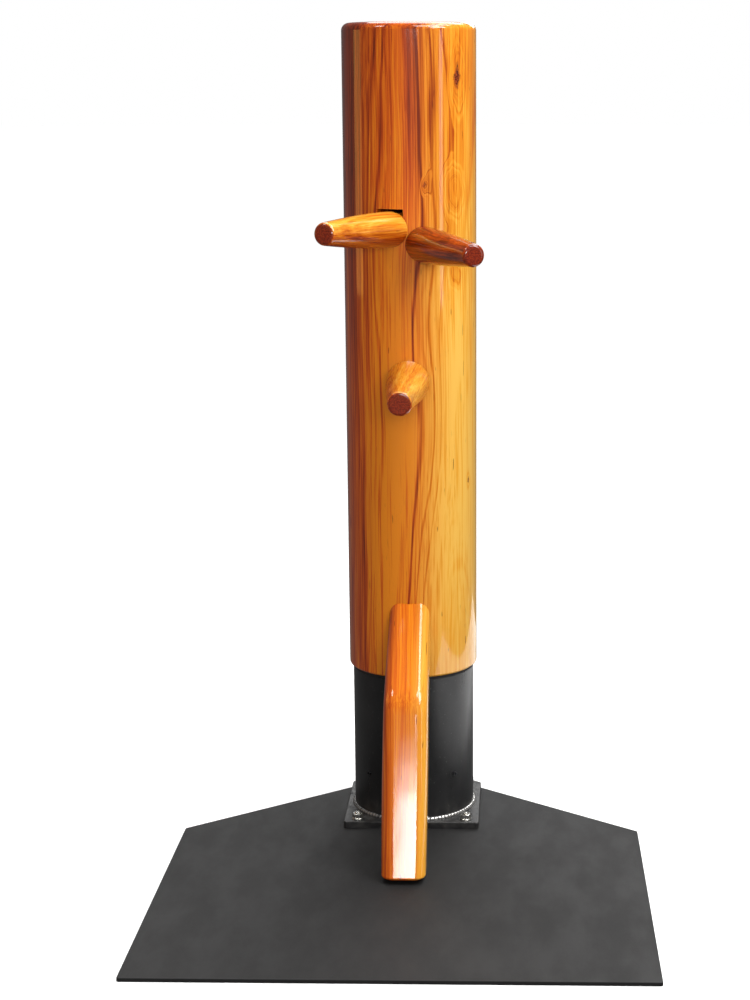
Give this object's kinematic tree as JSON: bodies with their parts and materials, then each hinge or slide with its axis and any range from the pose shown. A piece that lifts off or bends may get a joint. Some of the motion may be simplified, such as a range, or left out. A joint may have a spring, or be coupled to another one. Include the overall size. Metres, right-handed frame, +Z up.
{
  "type": "wooden wing dummy",
  "caption": "Martial-arts training dummy: an upright round log with tapered arms and a bent leg wedged through it, standing in a welded steel barrel on a broad pointed floor plate.",
  "frame": {"origin": "on the log's axis at floor level, on the underside of the floor plate", "axes": "+Z up along the log; -Y is the front, where the arms and the leg point; +X is to the right of someone who faces the front"},
  "size_m": [0.824, 0.881, 1.425],
  "materials": {
    "log_wood": "high-gloss clear lacquer over orange-brown, upright grain",
    "arm_wood": "high-gloss clear lacquer, turned",
    "leg_wood": "high-gloss clear lacquer, sawn and rounded",
    "wedge_wood": "planed hardwood, satin",
    "plate_paint": "matt dark grey paint on steel plate",
    "barrel_paint": "satin black paint",
    "weld_paint": "glossy black paint over a rippled weld bead",
    "gasket_rubber": "matt black",
    "bolt_zinc": "bright zinc plate",
    "screw_steel": "black oxide"
  },
  "bodies": {
    "base": {"base_plate": "plate_paint", "flange_plate": "barrel_paint", "barrel_tube": "barrel_paint", "barrel_weld": "weld_paint", "rim_gasket": "gasket_rubber", "flange_bolts": "bolt_zinc", "flange_washers": "bolt_zinc", "flange_nuts": "bolt_zinc", "set_screws": "screw_steel"},
    "trunk": {"trunk": "log_wood"},
    "upper_left_arm": {"upper_left_arm": "arm_wood"},
    "upper_right_arm": {"upper_right_arm": "arm_wood"},
    "middle_arm": {"middle_arm": "arm_wood"},
    "leg": {"leg": "leg_wood"},
    "upper_left_wedge": {"upper_left_wedge": "wedge_wood"},
    "upper_right_wedge": {"upper_right_wedge": "wedge_wood"},
    "middle_wedge": {"middle_wedge": "wedge_wood"},
    "leg_wedge": {"leg_wedge": "wedge_wood"}
  },
  "joints": [
    {"name": "trunk_lift", "type": "slide", "parent": "base", "child": "trunk", "axis": [0, 0, 1], "range_m": [0, 0.25]},
    {"name": "upper_left_arm_rock", "type": "hinge", "parent": "trunk", "child": "upper_left_arm", "pos_m": [-0.02884, -0.11145, 1.079], "axis": [-0.9239, 0.3827, 0], "range_deg": [0, 1.5]},
    {"name": "upper_left_wedge_draw", "type": "slide", "parent": "upper_left_arm", "child": "upper_left_wedge", "axis": [0.014, 0.0339, 0.9993], "range_m": [0, 0.1]},
    {"name": "upper_right_arm_rock", "type": "hinge", "parent": "trunk", "child": "upper_right_arm", "pos_m": [0.02884, -0.11145, 1.036], "axis": [-0.9239, -0.3827, 0], "range_deg": [0, 1.5]},
    {"name": "upper_right_wedge_draw", "type": "slide", "parent": "upper_right_arm", "child": "upper_right_wedge", "axis": [0, 0, 1], "range_m": [0, 0.1]},
    {"name": "middle_arm_rock", "type": "hinge", "parent": "trunk", "child": "middle_arm", "pos_m": [0, -0.114, 0.802], "axis": [-1, 0, 0], "range_deg": [0, 1.5]},
    {"name": "middle_wedge_draw", "type": "slide", "parent": "middle_arm", "child": "middle_wedge", "axis": [0, 0, 1], "range_m": [0, 0.1]},
    {"name": "leg_rock", "type": "hinge", "parent": "trunk", "child": "leg", "pos_m": [0, -0.114, 0.356], "axis": [-1, 0, 0], "range_deg": [0, 1.5]},
    {"name": "leg_wedge_draw", "type": "slide", "parent": "leg", "child": "leg_wedge", "axis": [0, 0, 1], "range_m": [0, 0.1]}
  ]
}
